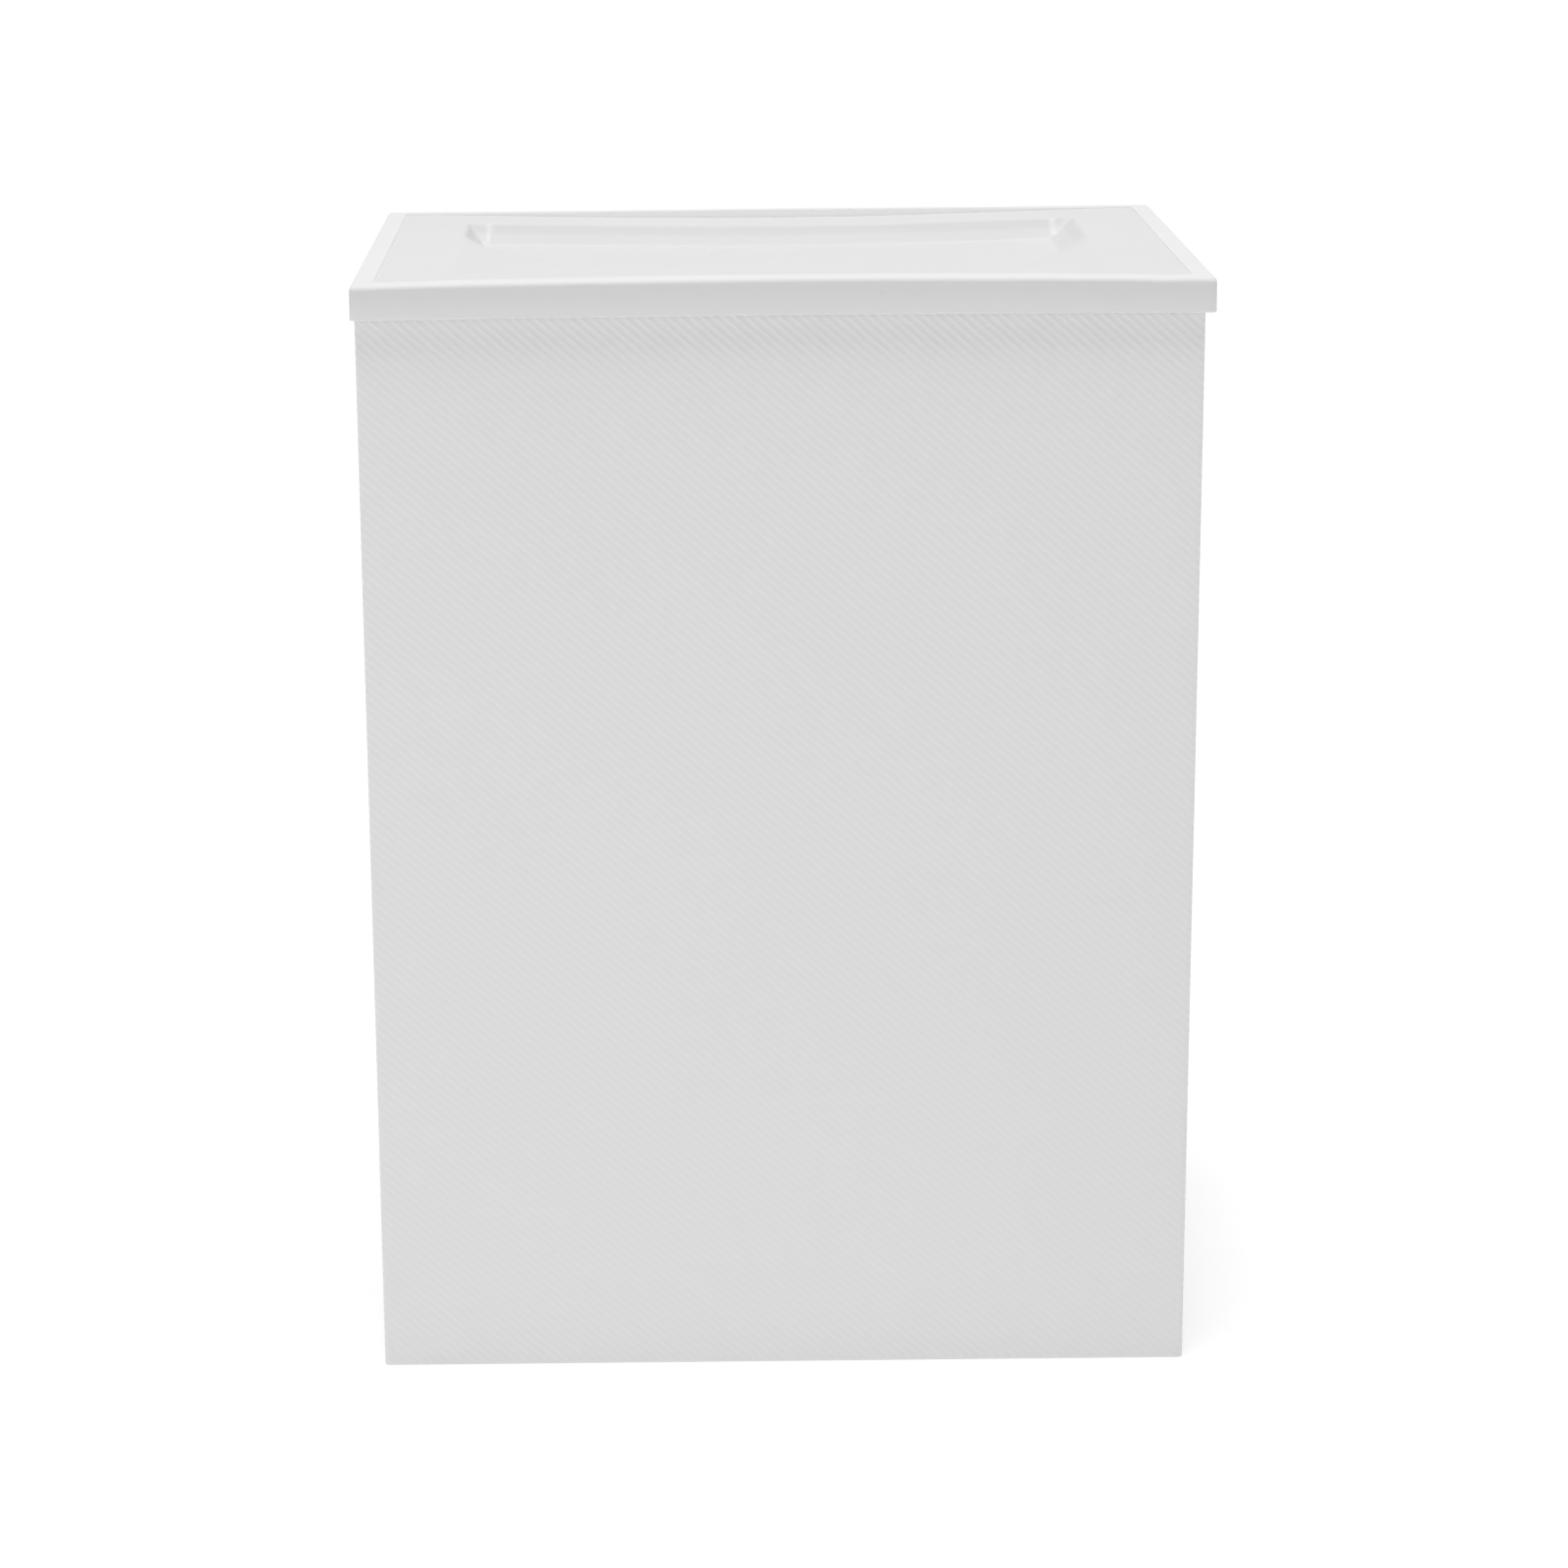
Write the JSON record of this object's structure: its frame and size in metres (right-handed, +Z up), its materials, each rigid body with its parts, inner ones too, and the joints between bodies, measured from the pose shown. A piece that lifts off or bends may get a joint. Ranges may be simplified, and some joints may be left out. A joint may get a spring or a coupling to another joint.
{
  "type": "laundry hamper",
  "caption": "Tall rectangular laundry hamper of diagonally ribbed plastic sheet on a moulded tray, with a lift-off lid that has a recessed top.",
  "frame": {"origin": "middle of the underside of the body, on the floor", "axes": "+X to the hamper's right as seen from its front, +Y to its back, +Z up"},
  "size_m": [0.45, 0.3, 0.602],
  "materials": {
    "ribbed_sheet": "embossed with fine diagonal ribs, matte",
    "rivet_nylon": "smooth satin",
    "moulded_white": "fine moulded grain, satin",
    "lid_rim_white": "smooth satin",
    "lid_insert": "fine spark grain, matte",
    "screw_steel": "zinc plated"
  },
  "bodies": {
    "hamper": {"shell_wrap": "ribbed_sheet", "back_panel": "ribbed_sheet", "seam_rivets": "rivet_nylon", "top_rim": "moulded_white", "base_tray": "moulded_white"},
    "lid": {"lid_frame": "lid_rim_white", "lid_panel": "lid_insert", "lid_screws": "screw_steel"}
  },
  "joints": [
    {"name": "lid_lift", "type": "slide", "parent": "hamper", "child": "lid", "axis": [0, 0, 1], "range_m": [0, 0.25]}
  ]
}
